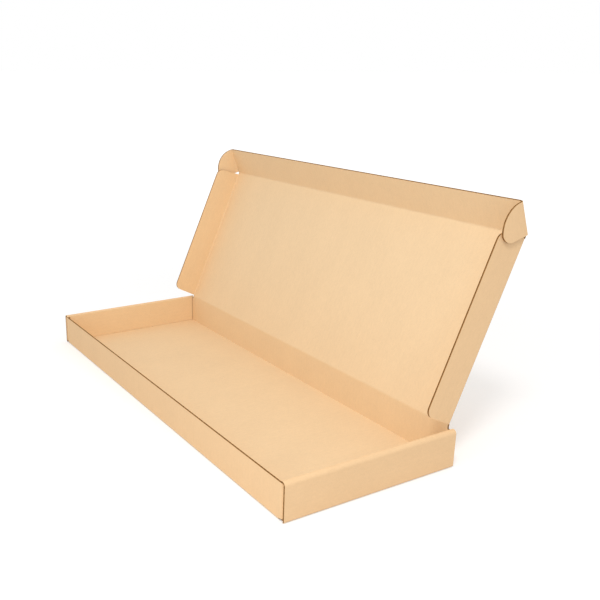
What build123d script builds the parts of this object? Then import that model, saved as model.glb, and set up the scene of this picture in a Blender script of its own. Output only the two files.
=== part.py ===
from build123d import *
import os
from math import sin, cos, tan, radians

# A long, shallow mailing box folded from fluted card: a tray with rolled-over double
# side walls, and a lid with two side flaps and a tuck flap that carries two ears.
# Millimetres. X runs along the box, the tuck side is at -Y, Z is up and the origin is
# the middle of the tray's underside. The lid is drawn as it stands open.

# driving sizes
length = 380.0            # outside of the side walls
depth = 141.5             # outside of the front and back walls
height = 27.8             # top of the rolled-over side walls
board = 1.4               # thickness of the fluted card
layer_gap = 0.1           # air between two folded layers
lid_open = 113.7          # lid's angle from shut
tuck_fold = 44.8          # tuck flap's bend out of the lid, as the lid stands open
tuck_shut_fold = 100.0    # the bend it has when the lid is shut
tuck_height = 26.2        # from its crease to its free edge
side_flap_height = 25.5   # from its crease to its free edge
side_flap_round = 6.0     # radius of its two outer corners
side_flap_give = 30.0     # how far it folds in past square
ear_reach = 22.2          # from its crease to its rounded end
tuck_clearance = 0.3      # shut tuck flap to the front wall
ear_clearance = 0.2       # shut ear to the side wall
crease_clearance = 0.08   # rounded crease to the sheet that turns on it
floor_bend = 0.8          # middle radius of the creases around the floor
corner_bend = 1.4         # middle radius of the upright corners
roll_bend = 1.3           # middle radius of the side walls' rolled top
dust_tab_length = 58.0
lock_tab_length = 30.0
lock_tab_spacing = 74.0
slot_play = 0.15          # locking tab to its slot

# positions that follow from them; a sheet is placed by its middle
half_board = board / 2
side_x = length / 2 - half_board                 # outer side panel
tab_x = side_x - board - layer_gap               # dust tab inside the wall
inner_x = tab_x - board - layer_gap              # inner side panel
wall_y = depth / 2 - half_board                  # front and back walls
ear_x = inner_x - board - ear_clearance          # ear's crease
flap_x = ear_x - board - 0.4                     # side flap's crease
hinge_z = height + half_board                    # lid's crease, so the shut lid lies level
lid_depth = depth - 2 * board - tuck_clearance   # lid's crease to the tuck flap's crease
roll_z = height - half_board                     # rolled top
wall_top = height - board - 0.3                  # front wall and dust tabs, under the roll
bend_x = tab_x - corner_bend                     # where the upright corners start
floor_end = wall_y - half_board - 0.25           # floor's edge beside the upright corners
inner_end = wall_y - half_board - 0.65           # ends of the inner side panels
above_floor = board + layer_gap
cup_radius = half_board + crease_clearance

# directions of the lid and of the tuck flap in the YZ plane
lid_angle = 180.0 - lid_open
tuck_angle = lid_angle + tuck_fold
along_lid = Vector(0, cos(radians(lid_angle)), sin(radians(lid_angle)))
lid_normal = Vector(0, -sin(radians(lid_angle)), cos(radians(lid_angle)))
along_tuck = Vector(0, cos(radians(tuck_angle)), sin(radians(tuck_angle)))
tuck_normal = Vector(0, -sin(radians(tuck_angle)), cos(radians(tuck_angle)))
hinge_at = Vector(0, wall_y, hinge_z)
tuck_at = hinge_at + along_lid * lid_depth


def bent_strip(points, radius):
    """A strip of card seen edge on: a line with rounded corners, one board thick."""
    with BuildLine() as middle:
        FilletPolyline(*points, radius=radius)
    trace(middle.edges(), line_width=board)


def folding_sheet(reach, inner_fold, outer_fold):
    """A sheet seen edge on, running along the sketch's X from its crease at the origin,
    inner face at +Y. Its end is hollowed around the crease. Each face is cut back where
    the sheet it turns on would meet it at the greatest fold towards that face: to that
    sheet's own face at a right angle or more, and to a mitre below it."""
    Rectangle(reach, board, align=(Align.MIN, Align.CENTER))
    rise = 2 * board
    face = half_board + crease_clearance / 2
    for fold, side in ((radians(inner_fold), 1), (radians(outer_fold), -1)):
        if fold >= radians(90):
            near, far = (face * sin(fold), side * face * cos(fold)), (face - rise * cos(fold)) / sin(fold)
        else:
            near, far = (0.01, 0), rise * tan(fold / 2)
        with BuildLine() as cut:
            Polyline((0, 0), near, (far, side * rise), (0, side * rise), close=True)
        make_face(cut.edges(), mode=Mode.SUBTRACT)
    Circle(cup_radius, mode=Mode.SUBTRACT)


# Tray: one sheet, folded up into a front wall, a back wall and two double side walls.
with BuildPart() as tray:
    # outer side panels, rolled over at the top
    for side in (1, -1):
        with BuildSketch(Plane.XZ.offset(-depth / 2 + 0.05)):
            bent_strip([(side * side_x, 0.5), (side * side_x, roll_z), (side * inner_x, roll_z),
                        (side * inner_x, roll_z - roll_bend - 0.1)], roll_bend)
        extrude(amount=depth - 0.1)
    # the roll's inner edge stops above the ends of the front and back walls, and the
    # outer panel's lower edge is bent in to the floor between its two ends
    with BuildSketch(Plane.XY.offset(wall_top - 2 * board)):
        for side in (1, -1):
            with Locations((side * inner_x, inner_end + board), (side * inner_x, -inner_end - board)):
                Rectangle(2 * board, 2 * board)
    extrude(amount=2 * board + 0.1, mode=Mode.SUBTRACT)
    with BuildSketch(Plane.XY):
        with Locations((side_x, 0), (-side_x, 0)):
            Rectangle(2 * board, 2 * floor_end)
    extrude(amount=half_board + floor_bend, mode=Mode.SUBTRACT)
    with BuildSketch(Plane.XZ.offset(-floor_end)):
        bent_strip([(-side_x, height / 2), (-side_x, half_board), (side_x, half_board),
                    (side_x, height / 2)], floor_bend)
    extrude(amount=2 * floor_end)
    # floor again, with the front and back walls bent up from it
    with BuildSketch(Plane.YZ.offset(-bend_x)):
        bent_strip([(-wall_y, wall_top), (-wall_y, half_board), (wall_y, half_board),
                    (wall_y, wall_top)], floor_bend)
    extrude(amount=2 * bend_x)
    # slots in the floor for the side walls' locking tabs
    with BuildSketch(Plane.XY):
        for side in (1, -1):
            with Locations((side * inner_x, lock_tab_spacing / 2), (side * inner_x, -lock_tab_spacing / 2)):
                Rectangle(board + 2 * slot_play, lock_tab_length + 6 * slot_play)
    extrude(amount=board, mode=Mode.SUBTRACT)
    # inner side panels, from the rolled top down to the floor
    with BuildSketch(Plane.XY.offset(above_floor)):
        with Locations((inner_x, 0), (-inner_x, 0)):
            Rectangle(board, 2 * inner_end)
    extrude(amount=roll_z - roll_bend - above_floor)
    # their locking tabs, standing in the slots
    with BuildSketch(Plane.XY.offset(0.3)):
        for side in (1, -1):
            with Locations((side * inner_x, lock_tab_spacing / 2), (side * inner_x, -lock_tab_spacing / 2)):
                Rectangle(board, lock_tab_length)
    extrude(amount=board)
    # upright corners and the dust tabs, slid into the side walls
    with BuildSketch(Plane.XY.offset(above_floor)):
        for side in (1, -1):
            for end in (1, -1):
                bent_strip([(side * (bend_x - board), end * wall_y), (side * tab_x, end * wall_y),
                            (side * tab_x, end * (wall_y - dust_tab_length))], corner_bend)
    extrude(amount=wall_top - above_floor)
    # back wall's middle, standing up to the lid's crease
    with BuildSketch(Plane.XY.offset(wall_top - board)):
        with Locations((0, wall_y)):
            Rectangle(2 * flap_x + board / 2, board)
    extrude(amount=hinge_z - wall_top + board)
    with BuildSketch(Plane.YZ.offset(0.2 - flap_x)):
        with Locations((wall_y, hinge_z)):
            Circle(half_board)
    extrude(amount=2 * flap_x - 0.4)
tray.part.label = "tray"

# Lid panel: hollow edge on the tray's crease, and rounded creases on its other sides.
flap_start, flap_end = 1.0, lid_depth - 2.9
with BuildPart() as lid:
    with BuildSketch(Plane(origin=hinge_at - Vector(flap_x, 0, 0), x_dir=along_lid, z_dir=(1, 0, 0))):
        folding_sheet(lid_depth, 90, 90)
        with Locations((lid_depth, 0)):
            Circle(half_board)
    extrude(amount=2 * flap_x)
    with BuildSketch(Plane(origin=hinge_at + along_lid * (flap_start + 0.2), x_dir=(1, 0, 0), z_dir=along_lid)):
        with Locations((flap_x, 0), (-flap_x, 0)):
            Circle(half_board)
    extrude(amount=flap_end - flap_start - 0.4)
lid.part.label = "lid"

# Tuck flap on the lid's free side, a little wider than the lid panel.
with BuildPart() as tuck_flap:
    with BuildSketch(Plane(origin=tuck_at - Vector(flap_x, 0, 0), x_dir=along_tuck, z_dir=(1, 0, 0))):
        folding_sheet(tuck_height, tuck_shut_fold, 30)
    extrude(amount=2 * flap_x)
    with BuildSketch(Plane(origin=tuck_at - Vector(ear_x, 0, 0), x_dir=along_tuck, z_dir=(1, 0, 0))):
        with Locations((board, 0)):
            Rectangle(tuck_height - board, board, align=(Align.MIN, Align.CENTER))
    extrude(amount=2 * ear_x)
    with BuildSketch(Plane(origin=tuck_at + along_tuck * 1.7, x_dir=(1, 0, 0), z_dir=along_tuck)):
        with Locations((ear_x, 0), (-ear_x, 0)):
            Circle(half_board)
    extrude(amount=tuck_height - 2.0)
tuck_flap.part.label = "tuck_flap"

# Right ear, square to the tuck flap, rounded and narrower towards the free edge.
with BuildPart() as right_ear:
    ear_crease = tuck_at + Vector(ear_x, 0, 0)
    with BuildSketch(Plane(origin=ear_crease, x_dir=tuck_normal, z_dir=-along_tuck)):
        folding_sheet(ear_reach + board, 90, 30)
    extrude(amount=-tuck_height)
    with BuildSketch(Plane(origin=ear_crease, x_dir=along_tuck, z_dir=(1, 0, 0))):
        with BuildLine():
            straight = Polyline((tuck_height - 0.2, 1.5), (tuck_height - 0.2, -board), (1.5, -board),
                                (1.5, 0.6), (0.12 * ear_reach, 0.64 * ear_reach))
            tip = TangentArc(straight @ 1, (0.5 * ear_reach, ear_reach), tangent=(0.1, 1))
            ThreePointArc(tip @ 1, (0.83 * tuck_height, 0.72 * ear_reach), straight @ 0)
        make_face()
    extrude(amount=board, both=True, mode=Mode.INTERSECT)
right_ear.part.label = "right_ear"

with BuildPart() as left_ear:
    mirror(right_ear.part, about=Plane.YZ)
left_ear.part.label = "left_ear"

# Right side flap, square to the lid, with its outer corners rounded and its ends
# drawn in so that it drops between the back wall and the shut tuck flap.
with BuildPart() as right_side_flap:
    flap_crease = hinge_at + Vector(flap_x, 0, 0)
    with BuildSketch(Plane(origin=flap_crease, x_dir=lid_normal, z_dir=-along_lid)):
        folding_sheet(side_flap_height, 90 + side_flap_give, 30)
    extrude(amount=-lid_depth)
    with BuildSketch(Plane(origin=flap_crease, x_dir=along_lid, z_dir=(1, 0, 0))) as flap_outline:
        with BuildLine():
            Polyline((flap_start, -board), (flap_start, 0.6), (flap_start + 1.6, side_flap_height),
                     (flap_end - 2.5, side_flap_height), (flap_end, 0.6), (flap_end, -board), close=True)
        make_face()
        fillet(flap_outline.vertices().group_by(Axis.Y)[-1], radius=side_flap_round)
    extrude(amount=board, both=True, mode=Mode.INTERSECT)
right_side_flap.part.label = "right_side_flap"

with BuildPart() as left_side_flap:
    mirror(right_side_flap.part, about=Plane.YZ)
left_side_flap.part.label = "left_side_flap"

os.makedirs("parts", exist_ok=True)
export_step(tray.part, "parts/tray.step")
export_step(lid.part, "parts/lid.step")
export_step(tuck_flap.part, "parts/tuck_flap.step")
export_step(left_ear.part, "parts/left_ear.step")
export_step(right_ear.part, "parts/right_ear.step")
export_step(left_side_flap.part, "parts/left_side_flap.step")
export_step(right_side_flap.part, "parts/right_side_flap.step")
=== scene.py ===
import math
from collections import namedtuple

import bmesh
import bpy
from mathutils import Matrix, Vector
from mathutils.geometry import delaunay_2d_cdt


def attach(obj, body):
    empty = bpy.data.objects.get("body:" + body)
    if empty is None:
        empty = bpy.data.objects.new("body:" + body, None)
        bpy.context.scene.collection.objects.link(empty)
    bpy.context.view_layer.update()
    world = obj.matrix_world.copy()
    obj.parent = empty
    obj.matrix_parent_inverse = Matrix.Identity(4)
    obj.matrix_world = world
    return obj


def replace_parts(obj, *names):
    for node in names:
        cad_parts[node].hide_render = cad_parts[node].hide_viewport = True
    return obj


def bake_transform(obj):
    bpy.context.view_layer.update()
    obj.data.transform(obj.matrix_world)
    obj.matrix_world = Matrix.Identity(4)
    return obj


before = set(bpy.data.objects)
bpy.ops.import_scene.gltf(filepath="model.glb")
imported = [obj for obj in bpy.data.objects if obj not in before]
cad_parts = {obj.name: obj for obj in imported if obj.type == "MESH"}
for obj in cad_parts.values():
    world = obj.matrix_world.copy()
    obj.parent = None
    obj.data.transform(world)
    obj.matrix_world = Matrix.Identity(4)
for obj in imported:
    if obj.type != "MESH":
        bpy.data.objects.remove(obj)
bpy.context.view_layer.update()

scene = bpy.context.scene
mm = 0.001

# A long, shallow mailing box folded from one sheet of fluted card. The box's sizes are in
# millimetres, and each sheet of card is placed by its middle.

# the card
board = 1.4                         # thickness
half = board / 2
liner = 0.24                        # one flat paper skin
medium = 0.24                       # the waved paper between the skins
flute_pitch = 3.5
swing = half - liner - medium / 2   # the wave's reach on each side of the middle
recess = 0.9                        # how deep an open edge is modelled
facet = 0.35                        # flat strip beside a bend that keeps its shading to itself
mark_gap = 0.02                     # a mark closer than this to a corner is left out

# the tray; front and back are its ends in y
front, back = -1, 1
wall_y = 70.05                      # front and back walls
side_x = 189.3                      # outer side panels
tab_x = 187.8                       # dust tabs inside the side walls
inner_x = 186.3                     # inner side panels
wall_top = 26.1                     # front wall, dust tabs
roll_z = 27.1                       # rolled tops of the side walls
above_floor = 1.5                   # lower edge of what stands on the floor
tab_foot = 0.3                      # end of the locking tabs in the floor's slots
floor_x, floor_y = 188.5, 69.25     # the floor's edges beside the upright corners
side_end = 70.7                     # ends of the outer side panels and rolled tops
inner_end = {front: 67.4, back: 68.9}         # ends of the inner side panels
corner_start = {front: 184.2, back: 186.2}    # where the upright corners start
corner_radius = {front: 3.2, back: 1.2}
floor_bend = 0.8                    # radius of the creases round the floor
roll_inner, roll_outer = 0.8, 2.1   # radii of the rolled tops' creases
dust_tab_end = 12.05                # the dust tabs' free edges, from the middle
lock_y, lock_reach = 37.0, 15.0     # middle of a locking tab and its reach on each side
slot_play = 0.15                    # a tab's play in its slot through the card
slot_ends = 0.45                    # and at its ends

# the lid and its flaps
crease = 1.6                        # a turning crease's reach on each side of its axis
hinge_reach = 1.0                   # the same for the lid's long crease
hinge_z = 28.5
lid_angle, tuck_angle = math.radians(66.3), math.radians(111.1)
lid_depth, tuck_height = 138.4, 26.2
flap_x, ear_x = 182.9, 184.7        # creases of the side flaps and of the ears
flap_from, flap_to = 1.1, 136.2     # the side flaps' creases along the lid
flap_height, flap_round = 25.5, 6.0
flap_low, flap_high = 2.6, 133.0    # their outer corners along the lid
flap_shoulder = crease + 0.6        # where their slanted ends start
ear_from, ear_to = 1.25, tuck_height - 0.2
ear_reach = 22.2
flap_radius, hinge_radius, tuck_radius = 1.3, 4.2, 3.1    # of the turning creases

# places of the sheets on the flat blank, which the paper's pattern follows
crease_column, flap_column = 190, 200
fold_row, wall_row = 80, 100
hinge_row, lid_row = 290, 300
tuck_hinge_row, tuck_row, ear_row = 490, 500, 520

X, Y, Z = Vector((1, 0, 0)), Vector((0, 1, 0)), Vector((0, 0, 1))
along_lid = Vector((0, math.cos(lid_angle), math.sin(lid_angle)))
lid_normal = Vector((0, -math.sin(lid_angle), math.cos(lid_angle)))
along_tuck = Vector((0, math.cos(tuck_angle), math.sin(tuck_angle)))
tuck_normal = Vector((0, -math.sin(tuck_angle), math.cos(tuck_angle)))
hinge_at = Vector((0, wall_y, hinge_z))
tuck_at = hinge_at + along_lid * lid_depth

# papers, by their place among a card's materials
inside_painted_light_paper, edge_paper, flute_paper, outside_painted_light_paper, hollow_painted_shade_paper = range(5)


class Path:
    """The middle line of a folded sheet seen edge on, with its folds rounded. A bend is made
    of facets that turn by at most facet_turn degrees."""

    def __init__(self, points, radii, facet_turn=12.0):
        points = [Vector(p) for p in points]
        radii = list(radii)
        self.spans, self.marks = [], []
        at, s = points[0], 0.0
        for i in range(1, len(points)):
            way = (points[i] - points[i - 1]).normalized()
            turn = reach = 0.0
            if i < len(points) - 1:
                onward = (points[i + 1] - points[i]).normalized()
                turn = math.atan2(way.x * onward.y - way.y * onward.x, way.dot(onward))
                reach = radii[i - 1] * math.tan(abs(turn) / 2)
            run = (points[i] - at).length - reach
            self.spans.append((s, s + run, at.copy(), way, 0.0, 0.0))
            s += run
            if turn:
                radius = radii[i - 1]
                at = points[i] - way * reach
                count = max(3, math.ceil(math.degrees(abs(turn)) / facet_turn))
                arc_length = radius * abs(turn)
                self.spans.append((s, s + arc_length, at.copy(), way, turn, radius))
                self.marks.append(s - facet)
                self.marks += [s + arc_length * k / count for k in range(count + 1)]
                self.marks.append(s + arc_length + facet)
                s += arc_length
                at = points[i] + onward * reach
        self.length = s

    def at(self, s):
        """Middle point and left-hand normal at a distance along the line."""
        span = next((span for span in self.spans if s <= span[1]), self.spans[-1])
        first, _, start, way, turn, radius = span
        left = Vector((-way.y, way.x))
        if not turn:
            return start + way * (s - first), left
        side = math.copysign(1, turn)
        part = (s - first) / radius
        centre = start + left * side * radius
        normal = Vector((left.x * math.cos(part * side) - left.y * math.sin(part * side),
                         left.x * math.sin(part * side) + left.y * math.cos(part * side)))
        return centre - normal * side * radius, normal


class Card:
    """One piece of card, collected sheet by sheet."""

    def __init__(self):
        self.mesh = bmesh.new()
        self.blank = self.mesh.loops.layers.uv.new("blank")
        self.shared = {}

    def corner(self, place):
        """The vertex at a place; places that are the same to 0.0005 mm share one."""
        key = tuple(round(c * 2000) for c in place)
        if key not in self.shared:
            self.shared[key] = self.mesh.verts.new(place * mm)
        return self.shared[key]

    def face(self, corners, blanks, material):
        """A face, unless it is there already or its corners fall together."""
        if len(set(corners)) < 3 or self.mesh.faces.get(corners):
            return
        made = self.mesh.faces.new(corners)
        made.material_index = material
        made.smooth = True
        for loop, blank in zip(made.loops, blanks):
            loop[self.blank].uv = blank


Corner = namedtuple("Corner", "s a open inset")
FlutePoint = namedtuple("FlutePoint", "upper lower blank")


def cut(s, a, inset=None):
    """A corner of an outline from which a cut edge goes on to the next. inset overrides the
    way into the open edge, at a corner that sheets share."""
    return Corner(s, a, True, inset)


def joined(s, a, inset=None):
    """A corner from which the sheet's edge is joined to another sheet."""
    return Corner(s, a, False, inset)


def inside(point, loop):
    """Whether a point lies inside a loop."""
    x, y = point
    odd = False
    for (x0, y0), (x1, y1) in zip(loop, loop[1:] + loop[:1]):
        if (y0 > y) != (y1 > y) and x < x0 + (y - y0) / (y1 - y0) * (x1 - x0):
            odd = not odd
    return odd


class Sheet:
    """The place of a sheet of fluted card: a folded middle line, drawn out along an axis.
    frame_of holds the origin, the line's two directions and the axis. s runs along the line,
    a along the axis, and an offset goes off the card's middle. The flutes follow each other
    along across, which is s or a, and blank is the sheet's place on the flat blank."""

    def __init__(self, card, frame_of, path, across, blank):
        self.card, self.path, self.across, self.blank = card, path, across, blank
        self.origin, self.right, self.up, self.axis = frame_of

    def put(self, s, a, offset):
        """Place in space."""
        point, normal = self.path.at(s)
        flat = point + normal * offset
        return self.origin + self.right * flat.x + self.up * flat.y + self.axis * a

    def on_blank(self, s, a):
        """Place on the flat blank: across the flutes, then along them."""
        u, v = (s, a) if self.across == "s" else (a, s)
        return u + self.blank[0], v + self.blank[1]

    def wave(self, s, a):
        """The waved paper's offset."""
        return swing * math.sin(2 * math.pi * self.on_blank(s, a)[0] / flute_pitch)

    def face(self, corners, paper):
        """A face between corners, each given by its s, a and offset."""
        self.card.face([self.card.corner(self.put(*c)) for c in corners],
                       [self.on_blank(*c[:2]) for c in corners], paper)


def with_marks(loop, marks, cuts):
    """A loop with corners added where its edges cross the marks of the bends and the cuts."""
    full = []
    for here, there in zip(loop, loop[1:] + loop[:1]):
        full.append(here)
        (s0, a0), (s1, a1) = here[:2], there[:2]
        parts = [(m - s0) / (s1 - s0) for m in marks
                 if min(s0, s1) + mark_gap < m < max(s0, s1) - mark_gap]
        parts += [(c - a0) / (a1 - a0) for c in cuts
                  if min(a0, a1) + mark_gap < c < max(a0, a1) - mark_gap]
        for t in sorted(parts):
            full.append(Corner(s0 + (s1 - s0) * t, a0 + (a1 - a0) * t, here.open, None))
    return full


def add_skins(sheet, loops, cuts, outside, tucked):
    """Both flat skins of a sheet, divided along the marks of its bends and the cuts."""
    beyond = 1      # how far the dividing lines run past the outline
    points, edges = [], []
    for loop in loops:
        first = len(points)
        points += [Vector(corner[:2]) for corner in loop]
        edges += [(first + k, first + (k + 1) % len(loop)) for k in range(len(loop))]
    low_s, high_s = min(p.x for p in points), max(p.x for p in points)
    low_a, high_a = min(p.y for p in points) - beyond, max(p.y for p in points) + beyond
    lines = [((m, low_a), (m, high_a)) for m in sheet.path.marks
             if low_s + mark_gap < m < high_s - mark_gap]
    lines += [((low_s - beyond, c), (high_s + beyond, c)) for c in cuts]
    for line in lines:
        edges.append((len(points), len(points) + 1))
        points += [Vector(end) for end in line]
    found, _, triangles, *_ = delaunay_2d_cdt(points, edges, [], 0, 1e-4)
    rings = [[tuple(corner[:2]) for corner in loop] for loop in loops]
    for triangle in triangles:
        middle = [sum(found[k][n] for k in triangle) / 3 for n in (0, 1)]
        if not inside(middle, rings[0]) or any(inside(middle, ring) for ring in rings[1:]):
            continue
        folded_in = min(middle[0], sheet.path.length - middle[0]) < tucked
        for offset, order in ((half, triangle), (-half, triangle[::-1])):
            # painted light: the panels folded into the box take the inside tone, which offsets the
            # box's orange bounced light
            paper = outside_painted_light_paper if offset * outside > 0 and not folded_in else inside_painted_light_paper
            sheet.face([(*found[k], offset) for k in order], paper)


def way_in(before, here, after):
    """From a corner of a loop to the bottom of the recess in its open edges. At a corner that
    is too sharp this goes straight in from one of its edges."""
    if here.inset:
        return Vector(here.inset)
    too_sharp = 0.3
    came = (Vector(here[:2]) - Vector(before[:2])).normalized()
    goes = (Vector(after[:2]) - Vector(here[:2])).normalized()
    left_of_came, left_of_goes = Vector((-came.y, came.x)), Vector((-goes.y, goes.x))
    if before.open and here.open:
        both = left_of_came + left_of_goes
        if both.length > too_sharp:
            return both * (recess * 2 / both.dot(both))
        return left_of_goes * recess
    if not (before.open or here.open):
        return Vector((0, 0))
    edge, onward = (left_of_goes, -came) if here.open else (left_of_came, goes)
    slope = onward.dot(edge)
    return onward * recess / slope if slope > too_sharp else edge * recess


def open_runs(loop):
    """The places in a loop of the corners along each unbroken run of open edges."""
    count = len(loop)
    opens = [k for k in range(count) if loop[k].open]
    if not opens:
        return []
    runs = []
    for k in [k for k in opens if not loop[k - 1].open] or [0]:
        run = [k]
        while loop[run[-1] % count].open and len(run) <= count:
            run.append(run[-1] + 1)
        runs.append([n % count for n in run])
    return runs


def add_hollow(sheet, loop, inward, run):
    """Both skins' cut ends along a run of open edges, and the hollow between them."""
    sections = []
    for k in run:
        rim = tuple(loop[k][:2])
        deep = (rim[0] + inward[k].x, rim[1] + inward[k].y)
        sections.append([(*rim, half), (*rim, half - liner), (*deep, half - liner),
                         (*deep, liner - half), (*rim, liner - half), (*rim, -half)])
    # the hollow's dark brown is painted shade, which stands in for the shade inside the open flutes
    papers_round = (edge_paper, hollow_painted_shade_paper, hollow_painted_shade_paper, hollow_painted_shade_paper, edge_paper)
    for one, two in zip(sections, sections[1:]):
        for n, paper in enumerate(papers_round):
            sheet.face([one[n], two[n], two[n + 1], one[n + 1]], paper)


def add_medium(sheet, loop, inward, run):
    """The waved paper in the hollow of a run of open edges."""
    card, closed = sheet.card, run[0] == run[-1]
    longest_part = flute_pitch / 9
    line = []
    for k, n in zip(run, run[1:]):
        rim0, rim1 = Vector(loop[k][:2]), Vector(loop[n][:2])
        deep0, deep1 = rim0 + inward[k], rim1 + inward[n]
        travel = abs((rim1 - rim0).x if sheet.across == "s" else (rim1 - rim0).y)
        parts = max(1, math.ceil(travel / longest_part))
        line += [(rim0.lerp(rim1, t / parts), deep0.lerp(deep1, t / parts)) for t in range(parts)]
    if not closed:
        rim = Vector(loop[run[-1]][:2])
        line.append((rim, rim + inward[run[-1]]))

    rows = []
    for rim, deep in line:
        row = []
        for depth in (0.06, 0.5, 1.0):
            s, a = rim.lerp(deep, depth)
            upper, lower = [card.mesh.verts.new(sheet.put(s, a, sheet.wave(s, a) + offset) * mm)
                            for offset in (medium / 2, -medium / 2)]
            row.append(FlutePoint(upper, lower, sheet.on_blank(s, a)))
        rows.append(row)

    def face(corners, points):
        card.face(corners, [p.blank for p in points], flute_paper)

    pairs = list(zip(rows, rows[1:])) + ([(rows[-1], rows[0])] if closed else [])
    for one, two in pairs:
        for n in range(2):
            four = [one[n], two[n], two[n + 1], one[n + 1]]
            face([p.upper for p in four], four)
            face([p.lower for p in four][::-1], four[::-1])
        for n in (0, 2):
            p, q = one[n], two[n]
            face([p.upper, q.upper, q.lower, p.lower], [p, q, q, p])
    if not closed:
        for row in (rows[0], rows[-1]):
            for p, q in zip(row, row[1:]):
                face([p.upper, q.upper, q.lower, p.lower], [p, q, q, p])


def add_sheet(card, frame_of, path, outline, holes=(), across="s", cuts=(), blank=(0, 0),
              outside=-1, tucked=0.0):
    """A sheet of fluted card with a counter-clockwise outline of corners, and clockwise holes.
    Its skins are divided at the places in cuts along the axis too. outside is the side of the
    line, 1 or -1, on which the outer liner lies, with the outside tone. Up to tucked from either
    end of the line both sides take the inside tone. The two tones are one paper with painted
    light: the inside tone less orange against the orange light bounced about inside the box, the
    outside tone more orange against the white floor's light."""
    sheet = Sheet(card, frame_of, path, across, blank)
    loops = [with_marks(loop, path.marks, cuts) for loop in (outline, *holes)]
    add_skins(sheet, loops, cuts, outside, tucked)
    for loop in loops:
        corners = list(zip(loop[-1:] + loop[:-1], loop, loop[1:] + loop[:1]))
        inward = [way_in(*three) for three in corners]
        for before, here, after in corners:
            if not (before.open or here.open or after.open):
                one, two = here[:2], after[:2]
                sheet.face([(*one, half), (*two, half), (*two, -half), (*one, -half)], edge_paper)
        for run in open_runs(loop):
            add_hollow(sheet, loop, inward, run)
            add_medium(sheet, loop, inward, run)


def finish_card(card, name, materials):
    """The object of a collected card, with what is left open at its joined edges closed."""
    sharp_from = math.radians(32)
    built = bpy.data.meshes.new(name)
    rim = [e for e in card.mesh.edges if e.is_boundary]
    bmesh.ops.holes_fill(card.mesh, edges=rim, sides=0)
    bmesh.ops.recalc_face_normals(card.mesh, faces=card.mesh.faces)
    card.mesh.to_mesh(built)
    card.mesh.free()
    built.set_sharp_from_angle(angle=sharp_from)
    for material in materials:
        built.materials.append(material)
    made = bpy.data.objects.new(name, built)
    scene.collection.objects.link(made)
    return made


class Nodes:
    """A material's node tree, built up in short calls. Patterns read the blank's flat
    coordinates in millimetres: u across the flutes, v along them."""

    def __init__(self, name):
        self.material = bpy.data.materials.new(name)
        self.material.use_nodes = True
        self.tree = self.material.node_tree
        self.shader = self.tree.nodes["Principled BSDF"]
        self.place = self.add("ShaderNodeUVMap", uv_map="blank").outputs["UV"]

    def add(self, kind, **settings):
        node = self.tree.nodes.new(kind)
        for name, value in settings.items():
            setattr(node, name, value)
        return node

    def link(self, source, target):
        """A link from an output to an input, or a plain value for the input."""
        if isinstance(source, (int, float, tuple)):
            target.default_value = source
        else:
            self.tree.links.new(source, target)

    def calc(self, kind, a, b):
        node = self.add("ShaderNodeMath", operation=kind)
        self.link(a, node.inputs[0])
        self.link(b, node.inputs[1])
        return node.outputs[0]

    def noise(self, across, along, detail=2.0, turn=0.0):
        """Noise from 0 to 1 with its grain sizes in millimetres, across and along the flutes."""
        mapping = self.add("ShaderNodeMapping")
        self.link(self.place, mapping.inputs["Vector"])
        mapping.inputs["Scale"].default_value = (1 / across, 1 / along, 1)
        mapping.inputs["Rotation"].default_value = (0, 0, turn)
        node = self.add("ShaderNodeTexNoise", noise_dimensions="2D")
        self.link(mapping.outputs["Vector"], node.inputs["Vector"])
        node.inputs["Scale"].default_value = 1.0
        node.inputs["Detail"].default_value = detail
        return node.outputs["Fac"]

    def between(self, value, low, high, to_low, to_high):
        """A value's range from low to high stretched to another, and held at its ends."""
        node = self.add("ShaderNodeMapRange", clamp=True)
        for n, v in enumerate((value, low, high, to_low, to_high)):
            self.link(v, node.inputs[n])
        return node.outputs["Result"]

    def shade(self, colour, factor):
        """A colour made lighter or darker by a factor."""
        node = self.add("ShaderNodeVectorMath", operation="SCALE")
        self.link(colour, node.inputs[0])
        self.link(factor, node.inputs["Scale"])
        return node.outputs[0]

    def mix(self, share, one, two):
        """A share of the second colour over the first."""
        share_in, one_in, two_in, colour_out = 0, 6, 7, 2     # where a Mix node has its colours
        node = self.add("ShaderNodeMix", data_type="RGBA")
        self.link(share, node.inputs[share_in])
        for colour, socket in ((one, one_in), (two, two_in)):
            self.link((*colour, 1) if isinstance(colour, tuple) else colour, node.inputs[socket])
        return node.outputs[colour_out]

    def bump(self, height, strength):
        """Relief on the shader, its height in millimetres."""
        node = self.add("ShaderNodeBump")
        node.inputs["Strength"].default_value = strength
        node.inputs["Distance"].default_value = mm
        self.link(height, node.inputs["Height"])
        self.link(node.outputs["Normal"], self.shader.inputs["Normal"])


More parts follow.
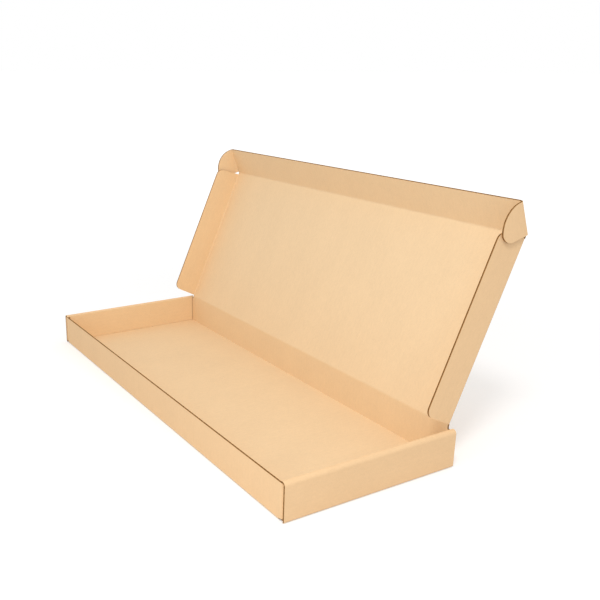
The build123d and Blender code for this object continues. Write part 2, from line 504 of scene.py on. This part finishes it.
def kraft_paper(name, one, two):
    """Kraft liner: clouds of tone, long pale and dark fibres, a few specks, and the flutes
    showing through as a faint washboard."""
    n = Nodes(name)
    clouds = n.noise(26, 48, 3)
    patches = n.noise(3.2, 6.5, 3)
    fibres = n.noise(0.22, 2.6, 2, 0.12)
    crossed = n.noise(1.9, 0.18, 2, -0.35)
    specks = n.noise(0.42, 0.6, 1)
    speck_colour, darkest_speck = (0.50, 0.27, 0.12), 0.35
    tone = n.calc("ADD", n.between(clouds, 0.3, 0.7, -0.012, 0.012),
                  n.between(patches, 0.3, 0.7, -0.009, 0.009))
    tone = n.calc("ADD", tone, n.between(fibres, 0.3, 0.7, -0.03, 0.03))
    tone = n.calc("ADD", tone, n.between(crossed, 0.3, 0.7, -0.02, 0.02))
    place = n.add("ShaderNodeSeparateXYZ")
    n.link(n.place, place.inputs[0])
    ridges = n.calc("SINE", n.calc("MULTIPLY", place.outputs[0], 2 * math.pi / flute_pitch), 0.0)
    tone = n.calc("ADD", tone, n.calc("MULTIPLY", ridges, 0.004))
    light = n.calc("ADD", tone, 1.0)
    colour = n.shade(n.mix(patches, one, two), light)
    dark = n.between(specks, 0.72, 0.8, 0.0, darkest_speck)
    n.link(n.mix(dark, colour, speck_colour), n.shader.inputs["Base Color"])
    n.link(n.between(fibres, 0.25, 0.75, 0.74, 0.86), n.shader.inputs["Roughness"])
    n.shader.inputs["Specular IOR Level"].default_value = 0.25
    height = n.calc("ADD", n.calc("MULTIPLY", ridges, 0.006), n.calc("MULTIPLY", fibres, 0.008))
    height = n.calc("ADD", height, n.calc("MULTIPLY", crossed, 0.005))
    n.bump(height, 0.6)
    return n.material


def torn_paper(name, pale, dark, rough):
    """Cut or unbleached paper, or the painted shade in the flutes' hollows: short fibres in two
    tones.
    """
    n = Nodes(name)
    fibres = n.noise(0.16, 0.5, 3)
    clouds = n.noise(4, 4, 2)
    share = n.calc("ADD", n.calc("MULTIPLY", fibres, 0.7), n.calc("MULTIPLY", clouds, 0.3))
    n.link(n.mix(n.between(share, 0.35, 0.65, 0.0, 1.0), dark, pale), n.shader.inputs["Base Color"])
    n.shader.inputs["Roughness"].default_value = rough
    n.shader.inputs["Specular IOR Level"].default_value = 0.15
    n.bump(n.calc("MULTIPLY", fibres, 0.03), 0.5)
    return n.material


# the inside and outside tones are one kraft with painted light: less orange inside against the box's
# orange bounced light, more orange outside against the white floor's light
papers = (kraft_paper("kraft_inside_painted_light", (0.879, 0.648, 0.394), (0.887, 0.658, 0.405)),
          torn_paper("kraft_cut_edge", (0.60, 0.33, 0.13), (0.45, 0.235, 0.085), 0.9),
          torn_paper("kraft_flutes", (0.54, 0.29, 0.11), (0.40, 0.205, 0.07), 0.9),
          kraft_paper("kraft_outside_painted_light", (0.895, 0.605, 0.338), (0.903, 0.615, 0.349)),
          # painted shade: kraft darkened to the shade inside the open flutes
          torn_paper("kraft_hollow_painted_shade", (0.30, 0.135, 0.035), (0.20, 0.085, 0.02), 0.95))

# The tray's floor and side walls are one folded strip, seen from the front. s starts at the
# left inner panel's foot.
tray = Card()
sides = Path([(-inner_x, tab_foot), (-inner_x, roll_z), (-side_x, roll_z), (-side_x, half),
              (side_x, half), (side_x, roll_z), (inner_x, roll_z), (inner_x, tab_foot)],
             [roll_inner, roll_outer, floor_bend, floor_bend, roll_outer, roll_inner])
full = sides.length
floor_start = full / 2 - floor_x
foot = above_floor - tab_foot           # the inner panels' feet
under_roll = wall_top - tab_foot        # above this the rolled tops reach over the walls
first_fold = 26.6                       # in the bend from an inner panel into the rolled top


def quarter(side, end):
    """Outline from an inner panel's foot to where the wall's crease starts."""
    points = [(foot, inner_end[end]), (under_roll, inner_end[end]), (under_roll, side_end),
              (floor_start, side_end), (floor_start, floor_y)]
    found = [cut(s if side < 0 else full - s, y * end) for s, y in points]
    last, inset = joined if side == end else cut, (side * recess, -end * recess)
    return found + [last(full / 2 + side * corner_start[end], floor_y * end, inset)]


def locking_tabs(side):
    """Outline of the two tabs on the foot of the left (-1) or right (1) inner panel."""
    return [cut(full - s if side > 0 else s, middle + step * side * lock_reach)
            for middle in (-lock_y * side, lock_y * side)
            for s, step in ((foot, -1), (0, -1), (0, 1), (foot, 1))]


outline = (quarter(-1, front) + quarter(1, front)[::-1] + locking_tabs(1)
           + quarter(1, back) + quarter(-1, back)[::-1] + locking_tabs(-1))
slot_x, slot_y = half + slot_play, lock_reach + slot_ends
clockwise = ((-1, -1), (-1, 1), (1, 1), (1, -1))
slots = [[cut(full / 2 + x + i * slot_x, y + j * slot_y) for i, j in clockwise]
         for x in (-inner_x, inner_x) for y in (-lock_y, lock_y)]
add_sheet(tray, (Vector(), X, Z, Y), sides, outline, slots,
          cuts=(facet - floor_y, floor_y - facet), blank=(-full / 2, 0), tucked=first_fold)

for end in (front, back):
    corner_x = corner_start[end]
    fold = Path([(-wall_y, above_floor), (-wall_y, half), (-floor_y, half)], [floor_bend],
                facet_turn=15.0)
    reach = fold.length
    add_sheet(tray, (Vector(), Y * -end, Z, X), fold,
              [cut(0, -corner_x, (-recess, recess)), joined(reach, -corner_x, (recess, recess)),
               cut(reach, corner_x, (recess, -recess)), joined(0, corner_x, (-recess, -recess))],
              across="a", blank=(0, end * fold_row))
    wall = Path([(-tab_x, -dust_tab_end), (-tab_x, -wall_y), (tab_x, -wall_y),
                 (tab_x, -dust_tab_end)], [corner_radius[end]] * 2, facet_turn=9.0)
    total = wall.length
    top = [cut(total, wall_top), cut(0, wall_top)]
    if end == back:
        rise = hinge_z - hinge_reach
        left, right = total / 2 - flap_x, total / 2 + flap_x
        top[1:1] = [cut(right, wall_top), joined(right, rise),
                    cut(left, rise), cut(left, wall_top)]
    add_sheet(tray, (Vector(), X, Y * -end, Z), wall,
              [cut(0, above_floor), joined(total / 2 - corner_x, above_floor, (recess, recess)),
               cut(total / 2 + corner_x, above_floor, (-recess, recess)),
               cut(total, above_floor), *top],
              cuts=(above_floor + facet,), blank=(-total / 2, end * wall_row))
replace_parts(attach(finish_card(tray, "tray_card", papers), "tray"), "tray")

# the lid
straight = Path([(0, 0), (200, 0)], [])     # longer than any flat sheet
lid = Card()
inner = flap_x - crease
lid_end = lid_depth - crease
add_sheet(lid, (hinge_at, along_lid, lid_normal, X), straight,
          [cut(hinge_reach, -flap_x), cut(flap_from, -flap_x), joined(flap_from, -inner),
           cut(flap_to, -inner), cut(flap_to, -flap_x), joined(lid_end, -flap_x),
           cut(lid_end, flap_x), cut(flap_to, flap_x), joined(flap_to, inner),
           cut(flap_from, inner), cut(flap_from, flap_x), joined(hinge_reach, flap_x)],
          across="a", blank=(0, lid_row))
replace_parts(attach(finish_card(lid, "lid_card", papers), "lid"), "lid")

# the tuck flap
tuck = Card()
ear_inner = ear_x - crease
add_sheet(tuck, (tuck_at, along_tuck, tuck_normal, X), straight,
          [joined(crease, -ear_inner), cut(tuck_height, -ear_inner),
           joined(tuck_height, ear_inner), joined(crease, ear_inner)],
          across="a", blank=(0, tuck_row))
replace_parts(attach(finish_card(tuck, "tuck_flap_card", papers), "tuck_flap"), "tuck_flap")


def arc(start, through, end, steps):
    """Points of the circle through three points, the first and last included."""
    (ax, ay), (bx, by), (cx, cy) = start, through, end
    aa, bb, cc = ax**2 + ay**2, bx**2 + by**2, cx**2 + cy**2
    d = 2 * (ax * (by - cy) + bx * (cy - ay) + cx * (ay - by))
    ux = (aa * (by - cy) + bb * (cy - ay) + cc * (ay - by)) / d
    uy = (aa * (cx - bx) + bb * (ax - cx) + cc * (bx - ax)) / d
    radius = math.hypot(ax - ux, ay - uy)
    first, middle, last = (math.atan2(y - uy, x - ux) for x, y in (start, through, end))
    turn = (last - first) % (2 * math.pi)
    if (middle - first) % (2 * math.pi) > turn:
        turn -= 2 * math.pi
    angles = [first + turn * k / steps for k in range(steps + 1)]
    return [(ux + radius * math.cos(angle), uy + radius * math.sin(angle)) for angle in angles]


def tangent_arc(start, way, end, steps):
    """Points of the circle that leaves start in a direction and reaches end."""
    way = Vector(way).normalized()
    gap = Vector(end) - Vector(start)
    side = Vector((-way.y, way.x))
    radius = gap.dot(gap) / (2 * gap.dot(side))
    centre = Vector(start) + side * radius
    half_turn = math.atan2(gap.dot(side), gap.dot(way))
    spot = Vector(start) - centre
    turned = Vector((spot.x * math.cos(half_turn) - spot.y * math.sin(half_turn),
                     spot.x * math.sin(half_turn) + spot.y * math.cos(half_turn)))
    return arc(start, tuple(centre + turned), end, steps)


def rounded(points, radius, steps=9):
    """A line of points with its inner corners rounded."""
    out = [points[0]]
    for before, here, after in zip(points, points[1:], points[2:]):
        one = (Vector(before) - Vector(here)).normalized()
        two = (Vector(after) - Vector(here)).normalized()
        opening = one.angle(two)
        reach = radius / math.tan(opening / 2)
        start, end = Vector(here) + one * reach, Vector(here) + two * reach
        middle = Vector(here) + (one + two).normalized() * (radius / math.sin(opening / 2) - radius)
        out += arc(tuple(start), tuple(middle), tuple(end), steps)
    return out + [points[-1]]


def bend(name, frame_of, points, radius, outline, across, blank):
    """A turning crease: card bent round between two bodies' sheets, built in place and put on no
    body. In its outline s is 0 or 1, the start or the end of the line. Its bend lies only between
    its two ends' corners, which meet the two bodies' sheets."""
    line = Path(points, [radius], facet_turn=7.0)
    piece = Card()
    loop = [corner._replace(s=corner.s * line.length) for corner in outline]
    add_sheet(piece, frame_of, line, loop, across=across, blank=blank)
    made = finish_card(piece, name, papers)
    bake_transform(made)
    return made


# An ear's free edge is a straight slanted start, then two arcs that meet at its tip. Each
# point is given along the tuck flap's height and out of it.
ear_slant_end, ear_slant = (0.12 * ear_reach, 0.64 * ear_reach), (0.1, 1)
ear_tip = (0.5 * ear_reach, ear_reach)
ear_shoulder, ear_end = (0.83 * tuck_height, 0.72 * ear_reach), (ear_to, 1.5)
ear_edge = tangent_arc(ear_slant_end, ear_slant, ear_tip, 12)
ear_edge += arc(ear_tip, ear_shoulder, ear_end, 28)[1:-1]
flap_edge = rounded([(flap_shoulder, flap_from), (flap_height, flap_low), (flap_height, flap_high),
                     (flap_shoulder, flap_to - 0.05)], flap_round)

# the ears, the side flaps and all turning creases
for side, name in ((1, "right"), (-1, "left")):
    ear = Card()
    add_sheet(ear, (tuck_at + X * (side * ear_x), tuck_normal, X * side, along_tuck), straight,
              [joined(crease, ear_to), cut(crease, ear_from), *(cut(out, a) for a, out in ear_edge)],
              blank=(side * flap_column, ear_row), outside=1)
    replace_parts(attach(finish_card(ear, name + "_ear_card", papers), name + "_ear"), name + "_ear")
    bend(name + "_ear_crease_card", (tuck_at, X * side, tuck_normal, along_tuck),
         [(ear_x - crease, 0), (ear_x, 0), (ear_x, crease)], flap_radius,
         [cut(0, ear_from), joined(1, ear_from), cut(1, ear_to), joined(0, ear_to)],
         "s", (side * crease_column, ear_row))

    flap = Card()
    add_sheet(flap, (hinge_at + X * (side * flap_x), lid_normal, X * side, along_lid), straight,
              [cut(crease, flap_from), *(cut(out, a) for out, a in flap_edge),
               joined(crease, flap_to)],
              blank=(side * flap_column, lid_row), outside=1)
    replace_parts(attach(finish_card(flap, name + "_side_flap_card", papers), name + "_side_flap"),
                name + "_side_flap")
    bend(name + "_side_crease_card", (hinge_at, X * side, lid_normal, along_lid),
         [(flap_x - crease, 0), (flap_x, 0), (flap_x, crease)], flap_radius,
         [cut(0, flap_from), joined(1, flap_from), cut(1, flap_to), joined(0, flap_to)],
         "s", (side * crease_column, lid_row))

bend("lid_crease_card", (Vector(), Y, Z, -X),
     [(wall_y, hinge_z - hinge_reach), (wall_y, hinge_z),
      (wall_y + hinge_reach * math.cos(lid_angle), hinge_z + hinge_reach * math.sin(lid_angle))],
     hinge_radius,
     [cut(0, -flap_x), joined(1, -flap_x), cut(1, flap_x), joined(0, flap_x)],
     "a", (0, hinge_row))
tuck_turn = tuck_angle - lid_angle
bend("tuck_crease_card", (tuck_at, along_lid, lid_normal, X),
     [(-crease, 0), (0, 0), (crease * math.cos(tuck_turn), crease * math.sin(tuck_turn))],
     tuck_radius,
     [cut(0, -flap_x), joined(1, -ear_inner), cut(1, ear_inner), joined(0, flap_x)],
     "a", (0, tuck_hinge_row))

# the camera, in metres and degrees
camera_data = bpy.data.cameras.new("camera")
camera_data.sensor_width = 36.0
camera_data.lens = 47.25
camera_data.shift_x = 0.1278
camera_data.shift_y = 0.0308
camera_data.clip_start = 0.01
camera_at = (0.52764, -0.31256, 0.26439)
camera_turns = ((59.483, "Z"), (72.053, "X"), (0.190, "Z"))
camera = bpy.data.objects.new("camera", camera_data)
scene.collection.objects.link(camera)
turn = Matrix.Identity(4)
for angle, axis in camera_turns:
    turn = turn @ Matrix.Rotation(math.radians(angle), 4, axis)
camera.matrix_world = Matrix.Translation(Vector(camera_at)) @ turn
scene.camera = camera


def seen(tree):
    """1 for what the camera sees, directly, in a gloss or through glass, and 0 for other
    light."""
    rays = tree.nodes.new("ShaderNodeLightPath")
    total = rays.outputs["Is Camera Ray"]
    for kind in ("Is Glossy Ray", "Is Transmission Ray"):
        node = tree.nodes.new("ShaderNodeMath")
        node.operation = "MAXIMUM"
        tree.links.new(total, node.inputs[0])
        tree.links.new(rays.outputs[kind], node.inputs[1])
        total = node.outputs[0]
    return total


# The floor is a matt white disc just under the box. What is seen of it is lifted to white,
# less near the box than further out, so that the box's shadow stays.
disc_radius, disc_z, disc_sides = 25, -0.0002, 96
lift_from, lift_to = (0.3, 0.31), (1.0, 0.52)     # distance in metres and how much is added
mesh = bpy.data.meshes.new("floor")
angles = [k * 2 * math.pi / disc_sides for k in range(disc_sides)]
mesh.from_pydata([(disc_radius * math.cos(angle), disc_radius * math.sin(angle), disc_z)
                  for angle in angles], [], [tuple(range(disc_sides))])
floor = bpy.data.objects.new("floor", mesh)
scene.collection.objects.link(floor)
white = bpy.data.materials.new("floor_white")
white.use_nodes = True
tree = white.node_tree
matt = tree.nodes["Principled BSDF"]
matt.inputs["Base Color"].default_value = (0.8, 0.8, 0.8, 1)
matt.inputs["Roughness"].default_value = 0.9
matt.inputs["Specular IOR Level"].default_value = 0.0
place = tree.nodes.new("ShaderNodeNewGeometry")
distance = tree.nodes.new("ShaderNodeVectorMath")
distance.operation = "LENGTH"
tree.links.new(place.outputs["Position"], distance.inputs[0])
away = tree.nodes.new("ShaderNodeMapRange")
away.interpolation_type = "SMOOTHSTEP"
away.inputs["From Min"].default_value, away.inputs["To Min"].default_value = lift_from
away.inputs["From Max"].default_value, away.inputs["To Max"].default_value = lift_to
tree.links.new(distance.outputs["Value"], away.inputs["Value"])
lift = tree.nodes.new("ShaderNodeMath")
lift.operation = "MULTIPLY"
tree.links.new(seen(tree), lift.inputs[0])
tree.links.new(away.outputs["Result"], lift.inputs[1])
glow = tree.nodes.new("ShaderNodeEmission")
tree.links.new(lift.outputs[0], glow.inputs["Strength"])
both = tree.nodes.new("ShaderNodeAddShader")
tree.links.new(matt.outputs[0], both.inputs[0])
tree.links.new(glow.outputs[0], both.inputs[1])
tree.links.new(both.outputs[0], tree.nodes["Material Output"].inputs["Surface"])
mesh.materials.append(white)

# the world: its light on the box, and the white that is seen behind it
sky_light, sky_seen = 0.743, 1.0
world = bpy.data.worlds.new("world")
world.use_nodes = True
tree = world.node_tree
tree.nodes["Background"].inputs["Color"].default_value = (1, 1, 1, 1)
level = tree.nodes.new("ShaderNodeMapRange")
level.inputs["To Min"].default_value = sky_light
level.inputs["To Max"].default_value = sky_seen
tree.links.new(seen(tree), level.inputs["Value"])
tree.links.new(level.outputs[0], tree.nodes["Background"].inputs["Strength"])
scene.world = world

# name, place, aim, size in metres and power of the lamps: the key that throws the shadow,
# and a small one low in front
lamps = (("softbox", (0.47, -0.30, 0.84), (0.10, -0.02, 0.03), 0.2, 2.71),
         ("front_fill", (0.30, -0.40, 0.15), (0.19, -0.07, 0.02), 0.3, 0.23))
for name, place, aim, size, power in lamps:
    lamp_data = bpy.data.lights.new(name, "AREA")
    lamp_data.shape = "DISK"
    lamp_data.size = size
    lamp_data.energy = power
    lamp = bpy.data.objects.new(name, lamp_data)
    scene.collection.objects.link(lamp)
    lamp.location = place
    lamp.rotation_euler = (Vector(aim) - lamp.location).to_track_quat("-Z", "Y").to_euler()
scene.view_settings.view_transform = "Standard"
